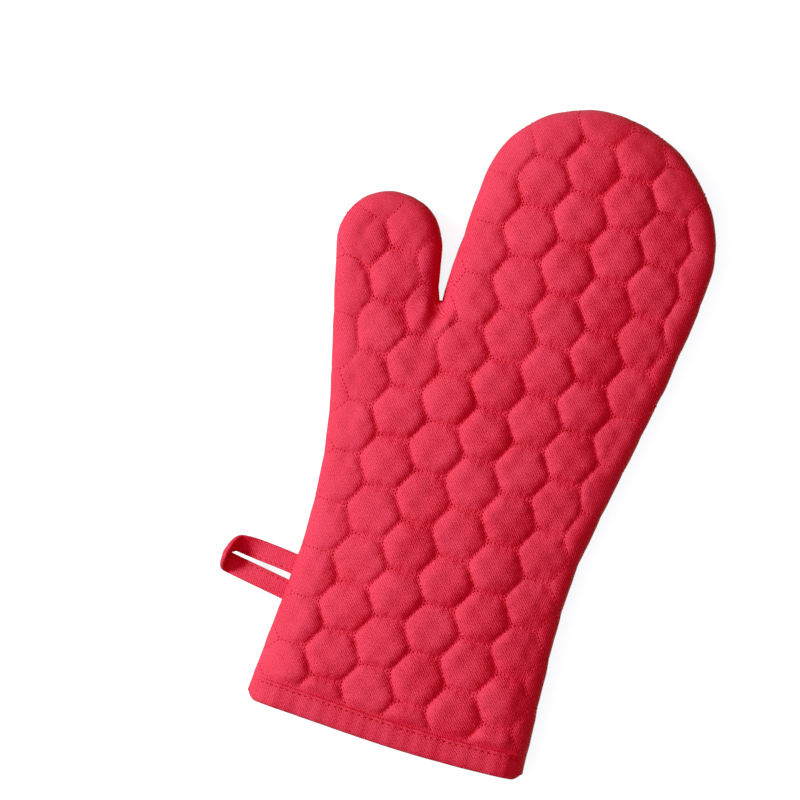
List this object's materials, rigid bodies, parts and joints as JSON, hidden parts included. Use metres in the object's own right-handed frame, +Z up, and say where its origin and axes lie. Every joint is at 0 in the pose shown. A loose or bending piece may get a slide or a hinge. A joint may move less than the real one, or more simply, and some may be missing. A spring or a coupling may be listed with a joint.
{
  "type": "oven mitt",
  "caption": "Quilted cotton oven mitt lying palm up, with a padded hand pocket, a thumb that folds at its base, a bound cuff and a tape hanging loop.",
  "frame": {"origin": "on the surface the mitt lies on, under the middle of the palm, on the flat outer face of the back panel", "axes": "+Y from the cuff to the fingertips, +X to the little-finger side, +Z up out of the palm"},
  "size_m": [0.195, 0.328, 0.03],
  "materials": {
    "face_cloth": "matt cotton twill",
    "trim_cloth": "matt cotton twill",
    "thread": "spun thread",
    "batting": "matt felted fibre",
    "lining": "matt plain cotton"
  },
  "bodies": {
    "hand": {"palm_face": "face_cloth", "palm_batting": "batting", "palm_lining": "lining", "palm_quilting": "thread", "back_face": "face_cloth", "back_batting": "batting", "back_lining": "lining", "back_quilting": "thread", "seam_overlock": "thread", "cuff_binding": "trim_cloth", "binding_topstitch": "thread", "seam_tack": "thread"},
    "thumb": {"thumb_palm_face": "face_cloth", "thumb_palm_batting": "batting", "thumb_palm_lining": "lining", "thumb_palm_quilting": "thread", "thumb_back_face": "face_cloth", "thumb_back_batting": "batting", "thumb_back_lining": "lining", "thumb_back_quilting": "thread", "thumb_seam_overlock": "thread"},
    "loop": {"hanging_loop": "trim_cloth", "loop_edge_stitch": "thread"}
  },
  "joints": [
    {"name": "thumb_fold", "type": "hinge", "parent": "hand", "child": "thumb", "pos_m": [-0.0505, 0.0355, 0.03], "axis": [0.6171, 0.7869, 0], "range_deg": [0, 45], "stiffness_Nm_per_rad": 0.05},
    {"name": "loop_swing", "type": "hinge", "parent": "hand", "child": "loop", "pos_m": [-0.06597, -0.08688, 0.0135], "axis": [0.0877, 0.9961, 0], "range_deg": [-13, 80], "stiffness_Nm_per_rad": 0.01}
  ]
}
